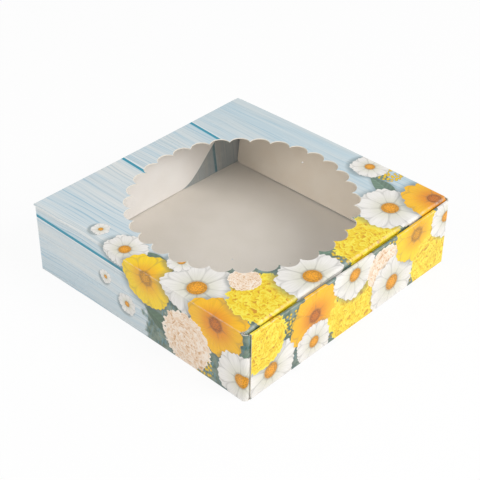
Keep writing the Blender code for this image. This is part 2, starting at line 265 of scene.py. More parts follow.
def run(first, second, ray):
    """A straight stretch of a section: its points, of which one coordinate may be a single number,
    and the direction that the printed face looks in."""
    points = np.stack(np.broadcast_arrays(first, second), 1)
    return points, np.tile(ray, (len(points), 1))


def section(*stretches):
    """The points and directions of a section made of several stretches."""
    return [np.concatenate(part) for part in zip(*stretches)]


def rounded(corners, radii, steps=8):
    """The points of a polygon whose corners are cut by arcs: each arc touches both its sides."""
    points = []
    for i, corner in enumerate(corners):
        corner = np.array(corner, float)
        if radii[i] == 0:
            points.append(corner)
            continue
        sides = [np.array(corners[j % len(corners)]) - corner for j in (i - 1, i + 1)]
        to_last, to_next = (side / np.hypot(*side) for side in sides)
        half = math.acos(np.clip(to_last @ to_next, -1, 1)) / 2
        reach = radii[i] / math.tan(half)
        start, end = corner + to_last * reach, corner + to_next * reach
        inwards = (to_last + to_next) / np.hypot(*(to_last + to_next))
        middle = corner + inwards * radii[i] / math.sin(half)
        chord = start + (end - start) * np.linspace(0, 1, steps + 1)[:, None] - middle
        points += list(middle + chord / np.hypot(*chord.T)[:, None] * radii[i])
    return np.array(points)


def arc_length(line):
    """How far each point of a line lies from its first point, along the line."""
    return np.concatenate([[0], np.cumsum(np.hypot(*np.diff(line, axis=0).T))])


def round_off(reach, corner, past):
    """A half width cut by a round corner: reach - corner + sqrt(corner2 - past2), where past is how
    far a place lies beyond the corner's start."""
    past = np.clip(past, 0, corner)
    return reach - corner + np.sqrt(corner**2 - past**2)


def ease_out(steps):
    """Shares from 1 down to 0 that fall quickly and then slowly: 1 - sin(t) over a quarter turn."""
    return 1 - np.sin(np.linspace(0, math.pi / 2, steps))


def tab_edges(half):
    """Stations just before and after each edge of the two lock tabs, or of their notches."""
    return [side * (TAB_Y + edge * half) + step
            for side in (-1, 1) for edge in (-1, 1) for step in (-STEP, STEP)]


def make_tray_bottom():
    """The bottom panel: a flat grid cut at each y to a half width, which is less in the rounded
    corners and at the notches of the lock tabs."""
    edge, notch, corner = 99.2, 97.4, 2.5
    ends = edge - corner * ease_out(7)
    y = np.unique(np.concatenate([np.linspace(-95, 95, 39), tab_edges(NOTCH_HALF), ends, -ends]))
    limit = round_off(edge, corner, np.abs(y) - (edge - corner))
    limit = np.where(np.abs(np.abs(y) - TAB_Y) < NOTCH_HALF, notch, limit)[:, None]
    across = np.clip(np.linspace(-edge, edge, 60), -limit, limit)
    along = np.broadcast_to(y[:, None], across.shape)
    middle = np.stack([across, along, np.full_like(across, BOARD / 2)], -1)
    return board("tray_bottom", middle, (0, 0, -1), np.stack([across, BOTTOM_V - along], -1), 0)


def sink(side, along):
    """How low a roll sits: the right one mostly in its middle, and less at the hinge end than at
    the tuck end; the left one all along, under the lid's edge."""
    share = (along + 99) / 198
    if side > 0:
        return 0.7 + 1.9 * (1 - (along / 99) ** 2) + 0.5 * share
    return 1.9 + 0.7 * share**2


def lean_in(along, z):
    """How far the left inner panel leans in: by the power 1.5 of the way from a little before its
    middle to its tuck end, and less and less up to the edge of the lid's side flap, behind it."""
    most, start, end = 4.0, -20, 100
    edge = np.interp(along, [start, 33, 59, 85, end], [2, 2, 17, 32, 33])
    share = np.clip((along - start) / (end - start), 0, 1)
    return most * share**1.5 * np.clip(1 - z / edge, 0, 1)


def make_side_strip(name, side):
    """A rolled side wall in one sheet: from the bottom's edge round the foot fold, up the outer
    panel, over the roll and down the inner panel to its lower edge with two lock tabs. Rows follow
    the section, and columns run along y and are cut to each row's half length. The left inner panel
    leans in. The roll sinks, and what is below it sinks with the square of its height."""
    outer_end, hinge_end, inner_end, corner, tab_z = 97.5, 95.6, 99, 5.0, 0.1
    # Two rows close together make each step in the outline: at the inner panel's top and at the tabs
    drop_z = [51.71, 51.69, 45, 38, 31, 24, 17, 12, 8, 6, 4.5, 3, 2, 1.2, 0.8, 0.79]
    line, ray = section(bend((OUTER_X - FOLD, FOOT_Z), FOLD, -90, 0, 6),
                        run(OUTER_X, np.linspace(FOOT_Z, ROLL_Z, 12)[1:-1], (1, 0)),
                        bend((OUTER_X - FOLD, ROLL_Z), FOLD, 0, 90, 6),
                        bend((INNER_X + FOLD, ROLL_Z), FOLD, 90, 180, 6),
                        run(INNER_X, drop_z, (-1, 0)))
    before = len(line) - len(drop_z)
    inner = np.arange(len(line)) > before
    limit = np.where(inner, round_off(inner_end, corner, corner - (line[:, 1] - FOOT_Z)), outer_end)
    hinge_limit = np.where(inner, limit, hinge_end)
    y = np.unique(np.concatenate([np.linspace(-99, 99, 100), tab_edges(TAB_HALF),
                                  [-hinge_end, outer_end]]))
    along = np.clip(y, -hinge_limit[:, None], limit[:, None])
    x, z = (np.tile(places[:, None], len(y)) for places in line.T)
    z[-1] = np.where(np.abs(np.abs(y) - TAB_Y) < TAB_HALF, tab_z, FOOT_Z)
    if side < 0:
        x[inner] -= lean_in(along[inner], z[inner])
    z -= sink(side, along) * (z / WALL_TOP) ** 2
    wear_and_highlight = np.pad(ROLL_WEAR_AND_HIGHLIGHT * 2, (before - 2 * len(ROLL_WEAR_AND_HIGHLIGHT), len(drop_z)))[:, None]
    return swept_along(name, side, (x, along, z), ray,
                       (SIDE_U + arc_length(line)[:, None], BOTTOM_V - along), wear_and_highlight)


def half_end_strip(end, wall_top, open_top, open_from):
    """The right half of an end wall, from its middle to the dust flap's tip: middle surface, outward
    directions and blank. Rows follow the plan: along the wall, round the upright bend, along the
    flap. Columns go up: round the foot fold on the wall, then straight between a lower and an upper
    edge. The upper one is the wall's top up to where the wall stands free of the lid, then its own.
    Just past the bend the flap's edges step inwards, and its tip is cut round below and aslant above."""
    bend_y, tip_y, tip_round, tip_cut = END_Y - DUST_BEND, 48.25, 9, 4
    step, foot_rise, top_drop = 1.4, 0.9, 2.45
    wall_x = np.concatenate([np.linspace(0, 93, 26), [95.99, 96.01, 96.3, 96.6]])
    flap_y = np.concatenate([np.linspace(bend_y, 96.4, 6)[1:], np.linspace(90, 60, 5),
                             tip_y + tip_round * ease_out(8)])
    half, ray = section(run(wall_x, END_Y, (0, 1)),
                        bend((DUST_X - DUST_BEND, bend_y), DUST_BEND, 90, 0, 7),
                        run(DUST_X, flap_y, (1, 0)))
    on_wall = np.arange(len(half)) < len(wall_x)
    length, y = arc_length(half), half[:, 1]
    past = np.where(on_wall, 0, np.clip((bend_y - y) / step, 0, 1))
    tip = np.clip((tip_y + tip_round - y) / tip_round, 0, 1)
    low = 0.3 + foot_rise * past + tip_round * (1 - np.sqrt(1 - tip**2))
    high = np.where(length < open_from, wall_top, open_top)
    high = high - top_drop * past - tip_cut * np.clip((tip_y + tip_cut - y) / tip_cut, 0, 1)

    turn, on_wall = np.radians(np.linspace(-90, 0, 6)), on_wall[:, None]
    foot = np.where(on_wall, FOOT_Z + FOLD * np.sin(turn), low[:, None] + np.linspace(0, 0.5, 6))
    up = foot[:, -1:] + (high[:, None] - foot[:, -1:]) * np.linspace(0, 1, 16)[1:]
    z = np.concatenate([foot, up], 1)
    inset, tilt = (np.concatenate([np.where(on_wall, fold, 0), 0 * up], 1)
                   for fold in (FOLD * (np.cos(turn) - 1), np.sin(turn)))
    level = np.sqrt(1 - tilt**2)
    x, y = (half[:, i:i + 1] + ray[:, i:i + 1] * inset for i in (0, 1))
    outward = np.stack([ray[:, :1] * level, end * ray[:, 1:] * level, tilt], -1)
    blank = np.stack(np.broadcast_arrays(length[:, None], BOTTOM_V - end * (HALF + z)), -1)
    return np.stack([x, end * y, z], -1), outward, blank


def make_end_strip(name, end, left_tops, right_tops):
    """The hinge wall (end -1) or tuck wall (end 1) with its two dust flaps, in one sheet: the right
    half, and the left one mirrored, each with its own upper edge."""
    mirror = np.array([-1.0, 1.0, 1.0])
    halves = zip(half_end_strip(end, *left_tops), half_end_strip(end, *right_tops))
    sheet = [np.concatenate([left[:0:-1] * mirror[:left.shape[-1]], right]) for left, right in halves]
    return board(name, *sheet, 0)


def window_radius(turn):
    """How far the window's edge lies from its middle in each direction: 32 equal arcs, each centred
    on a circle of its own, so the radius is c cos(t) + sqrt(r2 - c2 sin2(t)) at the angle t from the
    arc's middle."""
    tip, cusp = 80.5, 75.5
    step = math.pi / LOBES
    chord = cusp * math.sin(step)
    rise = tip - cusp * math.cos(step)
    lobe = (chord**2 + rise**2) / (2 * rise)
    centre = tip - lobe
    local = (turn + step) % (2 * step) - step
    return centre * np.cos(local) + np.sqrt(lobe**2 - (centre * np.sin(local)) ** 2)


def make_lid_top():
    """The lid's top panel as a ring of rows round the window, each from the scalloped edge out to
    the rectangle: the distance there is the half width over the cosine or the length over the sine.
    The window's cut edge slopes, so that its raw board shows from above as a thin pale line."""
    corners = [math.atan2(y, x) for x in (LID_LEFT, LID_RIGHT) for y in (LID_BACK, LID_FRONT)]
    turn = np.linspace(-math.pi, math.pi, LOBES * LOBE_STEPS + 1)[:-1]
    turn = np.unique(np.concatenate([turn, corners]))[:, None]
    cosine, sine = np.cos(turn), np.sin(turn)
    inner = window_radius(turn)
    reach_x = np.where(cosine > 0, LID_RIGHT, -LID_LEFT) / np.maximum(np.abs(cosine), 1e-9)
    reach_y = np.where(sine > 0, LID_FRONT, -LID_BACK) / np.maximum(np.abs(sine), 1e-9)
    share = np.concatenate([[0, 0.02], np.linspace(0.06, 1, 11) ** 1.2])
    radius = inner + (np.minimum(reach_x, reach_y) - inner) * share
    middle = np.stack([radius * cosine, radius * sine, np.full_like(radius, LID_Z)], -1)
    slope = np.where(share == 0, 1.0, 0.0)
    outward = np.stack([cosine * slope, sine * slope, np.ones_like(radius)], -1)
    # The print is paled at the window's cut edge, as it is over a fold.
    wear_and_highlight = np.interp(share, [0, 0.02, 0.06], [0.8, 0.1, 0])
    return board("lid_top", middle, outward, middle[..., :2], wear_and_highlight, ring=True, shape=sag)


def make_hinge_crease():
    """The crease that joins the hinge wall to the lid: a quarter arc between two short flats."""
    line, ray = section(run(-END_Y, [52.7], (-1, 0)),
                        bend((-END_Y + FOLD, FOLD_Z), FOLD, 180, 90, 8),
                        run(LID_BACK, [LID_Z], (0, 1)))
    length = arc_length(line)
    v = np.interp(length, [0, length[-1]], [-101.1, LID_BACK])
    return swept_across("hinge_crease", line, ray, np.linspace(CREASE_LEFT, CREASE_RIGHT, 50), v,
                        np.array(CREASE_WEAR_AND_HIGHLIGHT)[:, None])


def flap_outline():
    """A side flap's lower edge, as y and z: deep, then an S curve (half a cosine wave) up to a short
    tip with a slanted end, past which only the right fold runs on to the lid's corner."""
    foot, tip_z, corner, low_y, high_y = 1.4, 33.8, 6, 33, 85
    curve = np.linspace(0, 1, 33)
    wave = foot + (tip_z - foot) * (1 - np.cos(math.pi * curve)) / 2
    start = rounded([(FLAP_BACK, FOLD_Z), (FLAP_BACK, foot), (low_y, foot)], [0, corner, 0])[1:]
    end = rounded([(high_y, tip_z), (91, tip_z), (LEFT_REACH, 51.0), (RIGHT_REACH, 51.2)],
                  [0, corner, 0, 0])
    return np.concatenate([start, np.stack([low_y + (high_y - low_y) * curve, wave], 1), end])


def fold_wear_and_highlight(rows):
    """How much a lid flap's rows, which begin with its fold, are paled: partly rubbing, partly a painted
    highlight.
    """
    return np.pad(FLAP_WEAR_AND_HIGHLIGHT, (0, rows - len(FLAP_WEAR_AND_HIGHLIGHT)))[:, None]


def make_side_flap(name, side):
    """A side flap of the lid with its fold: rows go over the fold and down to the lower edge. Each
    fold turns a little further than straight down and comes back in to the flap's plane; the left
    one is sharp and reaches out over the roll, the right one is round."""
    if side > 0:
        edge, reach, turn = LID_RIGHT, RIGHT_REACH, -35
        centre = np.array([edge, LID_Z - RIGHT_FOLD])
        away = 2 * RIGHT_FOLD * np.array([math.cos(math.radians(turn)), math.sin(math.radians(turn))])
        folds = (bend(centre, RIGHT_FOLD, 90, turn, 12, skip=1),
                 bend(centre + away, -RIGHT_FOLD, turn, 0, 4, skip=1))
    else:
        edge, reach, turn, back = -LID_LEFT, LEFT_REACH, -60, 0.8
        folds = (bend((edge, FOLD_Z), FOLD, 90, turn, 12, skip=1),
                 bend((FLAP_X + back, 50.90), -back, turn, 0, 4))
    line, ray = section(run(edge, [LID_Z], (0, 1)), *folds)
    outline = flap_outline()
    stations = outline[:, 0]
    y = np.unique(np.concatenate([np.linspace(FLAP_BACK, reach, 90), stations[stations < reach]]))
    x, z, path = (np.tile(places[:, None], len(y)) for places in (*line.T, arc_length(line)))
    low = np.minimum(np.interp(y, *outline.T), z[-1] - 0.1)
    down = z[-1] + (low - z[-1]) * np.linspace(0, 1, 15)[1:, None]
    path = np.concatenate([path, path[-1] + z[-1] - down])
    x, z = np.concatenate([x, x[-1] + 0 * down]), np.concatenate([z, down])
    ray = np.concatenate([ray, np.tile([1.0, 0.0], (len(down), 1))])
    return swept_along(name, side, (x, y, z), ray, (edge + path, y), fold_wear_and_highlight(len(x)), shape=sag)


def make_tuck_flap():
    """The lid's tuck flap with its fold: rows go over the fold and down along the circle that the
    flap swings through about the hinge; columns are cut to a half width that tapers downwards and is
    rounded at the lower corners."""
    foot, foot_rows, corner, half_width, taper = 1.6, 12, 3, 95.2, 1.5
    down = np.concatenate([np.linspace(51.6, foot + foot_rows, 14), foot + foot_rows * ease_out(14)])
    depth = LID_TOP - down
    level = np.sqrt(SWING**2 - depth**2)
    line, ray = section(bend((LID_FRONT, FOLD_Z), FOLD, 90, -30, 10),
                        (np.stack([level - HALF, down], 1), np.stack([level, -depth], 1) / SWING))
    z = line[:, 1]
    reach = half_width - taper * np.clip((FOLD_Z - z) / (FOLD_Z - foot), 0, 1)
    limit = round_off(reach, corner, corner - (z - foot))[:, None]
    sides = np.linspace(75, half_width, 24)
    x = np.concatenate([-sides[::-1], np.linspace(-74, 74, 38), sides])
    return swept_across("lid_tuck_flap_print", line, ray, np.clip(x, -limit, limit),
                        LID_FRONT + arc_length(line), fold_wear_and_highlight(len(z)))


def make_film():
    """The clear film, a thin flat grid under the lid that follows its sag."""
    half_width, half_length = 89, 90.8
    share = np.linspace(-1, 1, 30)
    across, along = np.meshgrid(half_width * share, half_length * share, indexing="ij")
    middle = np.stack([across, along, np.full_like(across, FILM_Z)], -1)
    return board("window_film_clear", middle, (0, 0, 1), middle[..., :2], 0, thickness=FILM, shape=sag)


# Drawing with nodes

def operator(operation, turned=False):
    """A method that adds a math node for a value and what it is combined with, or the other way
    round."""
    def apply(self, *others):
        values = (self, *others)
        return self.draw.math(operation, *(reversed(values) if turned else values))
    return apply


class Value:
    """What a socket puts out. Sums, products and comparisons with it add math nodes to its tree."""

    def __init__(self, draw, socket):
        self.draw = draw
        self.socket = socket

    __add__ = operator("ADD")
    __sub__ = operator("SUBTRACT")
    __rsub__ = operator("SUBTRACT", turned=True)
    __mul__ = operator("MULTIPLY")
    __truediv__ = operator("DIVIDE")
    __rtruediv__ = operator("DIVIDE", turned=True)
    __pow__ = operator("POWER")
    __lt__ = operator("LESS_THAN")
    __gt__ = operator("GREATER_THAN")
    __abs__ = operator("ABSOLUTE")


class Drawing:
    """Short calls that add nodes to one tree and hand back what they put out."""

    def __init__(self, tree):
        self.tree = tree

    def put(self, socket, value):
        """Links a socket to a value, or sets it to a number, a vector or an sRGB colour."""
        if isinstance(value, Value):
            self.tree.links.new(value.socket, socket)
        elif value is not None:
            is_srgb = socket.type == "RGBA" and len(value) == 3
            socket.default_value = linear(*value) if is_srgb else value

    def fill(self, node, inputs):
        """Puts values into a node's inputs, given by their names or numbers."""
        for key, value in dict(inputs).items():
            self.put(node.inputs[key], value)

    def node(self, kind, inputs=(), **settings):
        """A new node with its settings and inputs."""
        made = self.tree.nodes.new(kind)
        for key, value in settings.items():
            setattr(made, key, value)
        self.fill(made, inputs)
        return made

    def value(self, kind, inputs=(), output=0, **settings):
        """A new node's output."""
        return Value(self, self.node(kind, inputs, **settings).outputs[output])

    def math(self, operation, *values):
        return self.value("ShaderNodeMath", enumerate(values), operation=operation)

    def vector(self, operation, a, b=None, scale=None):
        output = 1 if operation in ("LENGTH", "DOT_PRODUCT") else 0
        return self.value("ShaderNodeVectorMath", {0: a, 1: b, 3: scale}, output, operation=operation)

    def split(self, vector):
        """The first two components of a vector."""
        return [self.vector("DOT_PRODUCT", vector, axis) for axis in ((1, 0, 0), (0, 1, 0))]

    def join(self, *values):
        return self.value("ShaderNodeCombineXYZ", enumerate(values))

    def ramp(self, value, low, high, to_low=0, to_high=1, kind="SMOOTHSTEP"):
        """The value carried from one range to another, held at both ends."""
        return self.value("ShaderNodeMapRange", {"Value": value, "From Min": low, "From Max": high,
                                                 "To Min": to_low, "To Max": to_high},
                          "Result", interpolation_type=kind)

    def mix(self, share, a, b):
        return self.value("ShaderNodeMix", {0: share, 6: a, 7: b}, 2, data_type="RGBA")

    def shade(self, colour, value):
        """The colour times a value."""
        return self.value("ShaderNodeHueSaturation", {"Color": colour, "Value": value})

    def noise(self, vector, scale=1, detail=2, roughness=0.5):
        return self.value("ShaderNodeTexNoise", {"Vector": vector, "Scale": scale, "Detail": detail,
                                                 "Roughness": roughness})

    def chance(self, value):
        """A fixed random number for each value."""
        return self.value("ShaderNodeTexWhiteNoise", {"W": value}, "Value", noise_dimensions="1D")

    def cells(self, vector, scale, randomness=1, size="2D"):
        """A pattern of cells: how far a point lies from its cell's middle, and a fixed random number
        for each cell."""
        made = self.node("ShaderNodeTexVoronoi", voronoi_dimensions=size, feature="F1")
        found = self.by_name(made, {"Vector": vector, "Scale": scale, "Randomness": randomness})
        return found.Distance, self.split(found.Color)[0]

    def bump(self, height, strength, distance):
        return self.value("ShaderNodeBump", {"Strength": strength, "Distance": distance,
                                             "Height": height})

    def group(self, tree, **inputs):
        """What a node group puts out for these inputs, by the names of its outputs."""
        return self.by_name(self.node("ShaderNodeGroup", node_tree=tree), inputs)

    def by_name(self, node, inputs=()):
        """Fills a node's inputs and hands back all that it puts out, by name."""
        self.fill(node, inputs)
        return SimpleNamespace(**{socket.name: Value(self, socket) for socket in node.outputs})


def new_group(name, inputs, outputs):
    """A node group with named sockets, its drawing, what it is given and where its results go."""
    tree = bpy.data.node_groups.new(name, "ShaderNodeTree")
    for way, sockets in (("INPUT", inputs), ("OUTPUT", outputs)):
        for label, kind in sockets.items():
            tree.interface.new_socket(label, in_out=way, socket_type="NodeSocket" + kind)
    draw = Drawing(tree)
    given = draw.by_name(draw.node("NodeGroupInput"))
    return tree, draw, given, draw.node("NodeGroupOutput")


def placing_group():
    """A point of the blank as seen from a motif's middle: turned, and measured in its own size."""
    tree, draw, given, result = new_group(
        "motif_place", dict(point="Vector", x="Float", y="Float", turn="Float", size="Float"),
        dict(local="Vector", radius="Float", angle="Float"))
    away = draw.vector("SUBTRACT", given.point, draw.join(given.x, given.y))
    turned = draw.value("ShaderNodeVectorRotate", {"Vector": away, "Angle": given.turn * -1},
                        rotation_type="Z_AXIS")
    local = draw.vector("SCALE", turned, scale=1 / given.size)
    x, y = draw.split(local)
    draw.fill(result, dict(local=local, radius=draw.vector("LENGTH", local),
                           angle=draw.math("ARCTAN2", y, x)))
    return tree


PLACE = placing_group()


def seen_from(draw, given, **moved):
    """The point of the blank as a motif sees it, or as one would that is moved."""
    place = dict(x=given.x, y=given.y, turn=given.turn, size=given.size) | moved
    return draw.group(PLACE, point=given.point, **place)


def painted_group(name, paint, colours="", numbers=""):
    """A node group that paints a motif, or a layer of the ground, over the colour under it. It puts
    out the colour, and the point moved by a millionth of the colour: a motif that reads both is
    worked out after this one, and so a long chain of them stays within the few values that the
    renderer keeps at once."""
    inputs = dict.fromkeys(colours.split(), "Color") | dict.fromkeys(numbers.split(), "Float")
    tree, draw, given, result = new_group(name, dict(point="Vector", **inputs),
                                          dict(colour="Color", next="Vector"))
    colour = paint(draw, given)
    nudge = draw.vector("SCALE", colour, scale=1e-6)
    draw.fill(result, dict(colour=colour, next=draw.vector("ADD", given.point, nudge)))
    return tree


# The print's ground and motifs

def paint_planks(draw, given):
    """Painted planks: long soft streaks along U that wander a little, faint knots of paler paint,
    and dark joints, which are lines V = height + slope U on the lid and the hinge wall and evenly
    spaced beyond. A joint has a soft glow on one side and a light line on the other."""
    u, v = draw.split(given.point)
    v_grain = v + draw.noise(draw.join(u * 0.012, v * 0.02, 0)) * 9
    broad, middle, fine = [
        draw.noise(draw.join(u * along, v_grain * across, depth), detail=detail, roughness=0.6)
        for along, across, depth, detail in (
            (0.006, 0.08, 0, 3), (0.008, 0.30, 5.1, 4), (0.010, 0.90, 3.7, 3))]
    colour = draw.mix(draw.ramp(broad, 0.36, 0.62), (219, 223, 222), (200, 215, 222))
    colour = draw.mix(draw.ramp(middle, 0.50, 0.70, 0, 0.34), colour, (176, 202, 214))
    colour = draw.mix(draw.ramp(middle, 0.45, 0.30, 0, 0.45), colour, (228, 231, 230))
    colour = draw.mix(draw.ramp(fine, 0.54, 0.63, 0, 0.42), colour, (152, 180, 194))
    colour = draw.mix(draw.ramp(fine, 0.45, 0.36, 0, 0.35), colour, (234, 236, 234))
    stroke = draw.ramp(fine, 0.57, 0.66) * draw.ramp(broad, 0.50, 0.60)
    colour = draw.mix(stroke * 0.42, colour, (96, 172, 204))
    colour = draw.mix(draw.ramp(v, -30, 80, 0, 0.32), colour, (166, 198, 212))

    far_joint, half_spacing, far = -183.8, 35, 1000
    nearest = draw.math("WRAP", v - far_joint, half_spacing, -half_spacing) + (v > -146) * far
    for height, slope in ((40.3, -0.075), (-24.6, -0.045), (-109.7, -0.014)):
        joint = v - (u * slope + height)
        closer = abs(joint) < abs(nearest)
        nearest = joint * closer + nearest * (1 - closer)
    nearest = nearest * (1 - (v > -100) * 2)
    glow = draw.ramp(nearest, 3.2, 0.4) * (nearest > 0)
    colour = draw.mix(glow * 0.55, colour, (120, 195, 220))
    light = draw.ramp(abs(nearest + 1.6), 0.7, 0.2) * 0.7
    colour = draw.mix(light, colour, (238, 242, 244))
    return draw.mix(draw.ramp(abs(nearest), 1.4, 0.95), colour, (0, 140, 166))


def paint_undergrowth(draw, given):
    """What lies between the flowers: blurred dark and grey greens and a little teal, from a ragged
    edge on. It lies at U 10 on the hinge wall and beyond, and on the lid goes out to U 66 to 80."""
    u, v = draw.split(given.point)
    ragged = draw.noise(given.point, 0.11, detail=4)
    edge = draw.ramp(v, -100, -20, 10, 66, kind="LINEAR") + draw.ramp(v, 30, 70, 0, 14)
    depth = (ragged * 34 + u) - (edge + 17)
    mask = draw.ramp(depth, -3, 3, 0, 0.92)
    tufts = draw.noise(given.point, 0.14, detail=5)
    blades = draw.noise(draw.vector("MULTIPLY", given.point, (0.55, 0.16, 1)), detail=3)
    colour = draw.mix(draw.ramp(tufts, 0.38, 0.58), (58, 88, 66), (122, 138, 118))
    colour = draw.mix(draw.ramp(blades, 0.50, 0.66, 0, 0.75), colour, (92, 140, 150))
    colour = draw.mix(draw.ramp(blades, 0.42, 0.30, 0, 0.6), colour, (70, 96, 58))
    return draw.mix(mask, given.under, colour)


def cast_shadow(draw, given):
    """The colour under a motif, darkened where its soft shadow falls, a little down and left."""
    left, down = 1.6, 1.8
    spot = seen_from(draw, given, x=given.x - left, y=given.y - down)
    return draw.mix(draw.ramp(spot.radius, 1.08, 0.78, 0, 0.5), given.under, (70, 92, 92))


def paint_bloom(draw, given):
    """An open blossom: two layers of petals round a grainy heart. A petal reaches as far from its
    own middle line as a width that falls off towards its rounded, notched tip."""
    ripple = draw.noise(given.point, 0.16)
    spot = seen_from(draw, given)
    radius = spot.radius + (ripple * 0.10 - 0.05)
    angle = spot.angle / math.tau
    colour = cast_shadow(draw, given)
    for layer in range(2):
        q = angle * given.petals + 0.5 * layer
        index = draw.math("WRAP", draw.math("FLOOR", q), given.petals, 0)
        t = draw.math("FRACT", q) - 0.5
        luck = draw.chance(index + (given.seed + 20 * layer))
        side = abs(t + (luck * 0.10 - 0.05))
        reach = radius / (luck * 0.14 + 0.86) + given.notch * draw.ramp(side, 0.16, 0)
        crown = draw.math("SQRT", draw.math("MAXIMUM", 1 - reach**5, 0))
        inside = crown * draw.ramp(radius, 0, 0.55, 0.55, 1) * given.width - side
        vein = draw.noise(draw.join(t * 22, radius * 2.2, luck * 9 + given.seed), detail=3)
        tone = draw.ramp(inside, 0, 0.12, 0.87, 1) * draw.ramp(vein, 0.3, 0.7, 0.93, 1.04)
        tone = tone * (luck * 0.08 + (0.93 + 0.03 * layer))
        petal = draw.mix(draw.ramp(radius, 0.15, 0.75), given.root, given.tip)
        if layer:
            behind = draw.ramp(inside, -0.16, 0, 0, 0.28) * draw.ramp(radius, 1, 0.85)
            colour = draw.mix(behind, colour, (96, 96, 84))
        colour = draw.mix(draw.ramp(inside, 0, 0.03), colour, draw.shade(petal, tone))
    rim = spot.radius / given.core
    colour = draw.mix(draw.ramp(rim, 1.35, 1, 0, 0.45), colour, (120, 100, 60))
    grain = draw.cells(spot.local, 22)[0]
    dome = draw.ramp(grain, 0, 0.75, 1.22, 0.70) * draw.ramp(rim, 0.25, 1, 1.08, 0.74)
    return draw.mix(draw.ramp(rim, 1.04, 0.96), colour, draw.shade(given.heart, dome))


# A rosette's discs: the radius, the number of scallops and the turn of each
ROSETTE_DISCS = ((1.0, 17, 0.0), (0.89, 16, 0.9), (0.78, 15, 2.0), (0.67, 13, 0.4), (0.56, 12, 1.3),
                 (0.45, 10, 2.6), (0.34, 8, 0.2), (0.23, 6, 1.1), (0.13, 4, 2.2))


def paint_rosette(draw, given):
    """A many-petalled rosette: scalloped discs on each other, each lit at its rim and shaded where
    the next one covers it. A disc's rim is r = R - d (1 - |cos(m a / 2)|)."""
    scallop = 0.07
    ripple = draw.noise(given.point, 0.22, detail=3)
    spot = seen_from(draw, given)
    radius = spot.radius + (ripple * 0.34 - 0.17)
    skew = draw.noise(given.point, 0.16)
    angle = spot.angle + (skew * 1.2 - 0.6)
    tone = outer_mask = None
    for rim, count, phase in ROSETTE_DISCS:
        swing = angle * (count / 2) + (given.seed * 1.7 + phase)
        wave = abs(draw.math("COSINE", swing))
        edge = (wave * scallop + (rim - scallop)) - radius
        mask = draw.ramp(edge, 0, 0.02)
        petal = draw.math("FLOOR", swing / math.pi + 0.5)
        luck = draw.chance(draw.math("WRAP", petal, count, 0) + count * 3.1)
        lit = draw.ramp(edge, 0, 0.15, 0.95, 0.30) + (luck * 0.40 - 0.20)
        if tone is None:
            outer_mask, tone = mask, lit
        else:
            tone = (lit - tone) * mask + tone
    turned = draw.join(draw.math("COSINE", angle), draw.math("SINE", angle), 0)
    depth = draw.join(0, given.seed, radius * 5)
    tuft = draw.noise(draw.vector("ADD", draw.vector("SCALE", turned, scale=5.5), depth),
                      detail=3, roughness=0.6)
    tone = tone * 0.95 + (tuft * 1.4 - 0.62)
    colour = draw.mix(draw.ramp(tone, 0.15, 0.55), given.deep, given.body)
    colour = draw.mix(draw.ramp(tone, 0.55, 1), colour, given.light)
    return draw.mix(outer_mask, cast_shadow(draw, given), colour)


def paint_leaf(draw, given):
    """A pointed leaf along its own first axis: half width w sin(pi u), a pale midrib, side veins."""
    spot = seen_from(draw, given)
    u, v = draw.split(spot.local)
    v = v + draw.math("SINE", u * 3) * 0.07
    side = abs(v)
    inside = draw.math("SINE", u * math.pi) * given.width - side
    on = (u > 0) * (u < 1)
    under = draw.mix(draw.ramp(inside, -0.09, 0.03, 0, 0.4) * on, given.under, (80, 100, 100))
    comb = draw.math("SINE", (u - side * 0.9) * 55)
    tone = draw.ramp(comb, -1, 1, 0.88, 1.06) + draw.ramp(v, -0.02, 0.02, -0.08, 0.08)
    tone = tone + draw.ramp(side, 0.02, 0, 0, 0.35)
    return draw.mix(draw.ramp(inside, 0, 0.012) * on, under, draw.shade(given.green, tone))


def paint_sprig(draw, given):
    """A loose cluster of little round blossoms: the cells of a Voronoi pattern inside a ragged disc,
    each lit like a ball."""
    spot = seen_from(draw, given)
    moved = draw.vector("ADD", spot.local, draw.join(given.seed, 0, 0))
    distance, luck = draw.cells(moved, 3.6, randomness=0.75)
    size = luck * 0.14 + 0.36
    kept = (spot.radius < 0.95) * (luck > 0.06)
    soft = draw.ramp(distance - size, 0.16, -0.05, 0, 0.5) * kept
    under = draw.mix(soft, given.under, (80, 96, 80))
    fluff = draw.noise(given.point, 2.2)
    tone = draw.ramp(distance / size, 0, 1, 1.08, 0.62) * draw.ramp(fluff, 0.3, 0.7, 0.86, 1.12)
    mask = draw.ramp(size - distance, 0, 0.03) * kept
    return draw.mix(mask, under, draw.shade(given.ball, tone))


def motif_group(name, paint, colours, numbers=""):
    """The painted group of a motif, which has a place, a size, a turn and a seed."""
    return painted_group(name, paint, "under " + colours, "x y size turn seed " + numbers)


PLANKS = painted_group("planks", paint_planks)
UNDERGROWTH = painted_group("undergrowth", paint_undergrowth, "under")
BLOOM = motif_group("bloom", paint_bloom, "tip root heart", "petals width notch core")
ROSETTE = motif_group("rosette", paint_rosette, "deep body light")
LEAF = motif_group("leaf", paint_leaf, "green", "width")
SPRIG = motif_group("sprig", paint_sprig, "ball")

